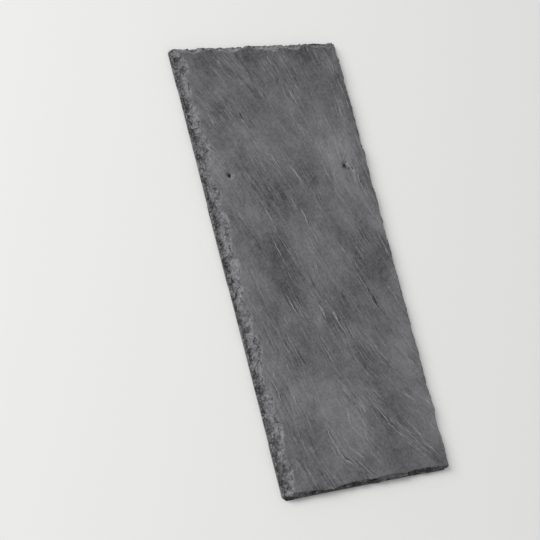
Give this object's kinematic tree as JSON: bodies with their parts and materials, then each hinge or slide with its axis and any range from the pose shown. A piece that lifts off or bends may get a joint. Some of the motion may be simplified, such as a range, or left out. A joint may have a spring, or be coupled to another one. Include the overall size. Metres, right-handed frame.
{
  "type": "slate roof tile",
  "caption": "Rectangular roofing slate of dark grey stone, with a riven face, dressed edges and punched nail holes near its head.",
  "frame": {"origin": "middle of the flat bed face, at the centre of the slate's outline", "axes": "+X across the slate to the right, +Y up the slope from tail to head, +Z out of the weather face"},
  "size_m": [0.254, 0.559, 0.011],
  "materials": {
    "slate": "riven dark grey slate with lighter flake scars"
  },
  "bodies": {
    "root": {"slate": "slate"}
  },
  "joints": []
}
